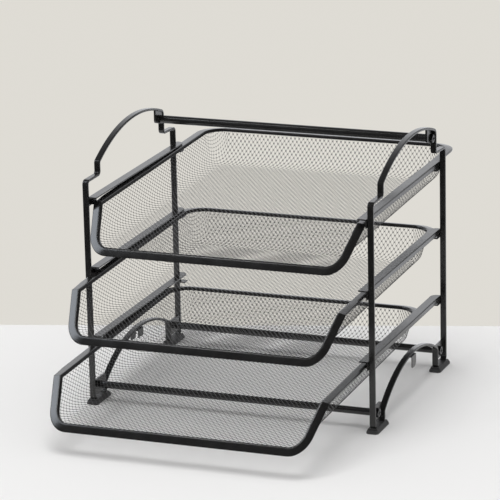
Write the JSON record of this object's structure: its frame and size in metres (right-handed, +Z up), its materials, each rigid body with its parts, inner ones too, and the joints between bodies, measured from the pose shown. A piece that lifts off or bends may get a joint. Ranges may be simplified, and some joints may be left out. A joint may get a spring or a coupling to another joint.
{
  "type": "tiered desk tray",
  "caption": "Tiered desk letter tray: black mesh trays with flat rims slide on folded rails between bent-bar side frames with arched tops, joined by tube crossbars.",
  "frame": {"origin": "on the floor, under the middle of the whole object with its trays pulled out in steps as in the picture", "axes": "+X to the user's right, +Y from the open front to the rear, +Z up"},
  "size_m": [0.2972, 0.4365, 0.2598],
  "materials": {
    "frame_coat": "satin black powder coat",
    "tray_rim": "satin black powder coat",
    "mesh": "black powder-coated expanded metal",
    "foot_plastic": "matt black moulded plastic",
    "screw": "black zinc",
    "insert": "plain turned steel"
  },
  "bodies": {
    "stand": {"crossbar_inserts": "insert", "crossbar_screws": "screw", "front_bracket_left": "frame_coat", "front_bracket_right": "frame_coat", "front_crossbar": "frame_coat", "front_foot_left": "foot_plastic", "front_foot_right": "foot_plastic", "lower_rail_left": "frame_coat", "lower_rail_right": "frame_coat", "middle_rail_left": "frame_coat", "middle_rail_right": "frame_coat", "rear_bracket_left": "frame_coat", "rear_bracket_right": "frame_coat", "rear_crossbar": "frame_coat", "rear_foot_left": "foot_plastic", "rear_foot_right": "foot_plastic", "side_frame_left": "frame_coat", "side_frame_right": "frame_coat", "stacking_clip_left": "frame_coat", "stacking_clip_right": "frame_coat", "top_bracket_left": "frame_coat", "top_bracket_right": "frame_coat", "top_crossbar": "frame_coat", "upper_rail_left": "frame_coat", "upper_rail_right": "frame_coat"},
    "upper_tray": {"upper_tray_mesh": "mesh", "upper_tray_rim": "tray_rim", "upper_tray_front_rim": "tray_rim"},
    "middle_tray": {"middle_tray_mesh": "mesh", "middle_tray_rim": "tray_rim", "middle_tray_front_rim": "tray_rim"},
    "lower_tray": {"lower_tray_mesh": "mesh", "lower_tray_rim": "tray_rim", "lower_tray_front_rim": "tray_rim"}
  },
  "joints": [
    {"name": "upper_tray_slide", "type": "slide", "parent": "stand", "child": "upper_tray", "axis": [0, -0.9998, -0.0175], "range_m": [0, 0.124]},
    {"name": "middle_tray_slide", "type": "slide", "parent": "stand", "child": "middle_tray", "axis": [0, -0.9998, -0.0175], "range_m": [-0.0574, 0.0666]},
    {"name": "lower_tray_slide", "type": "slide", "parent": "stand", "child": "lower_tray", "axis": [0, -0.9998, -0.0175], "range_m": [-0.1054, 0.0186]}
  ]
}
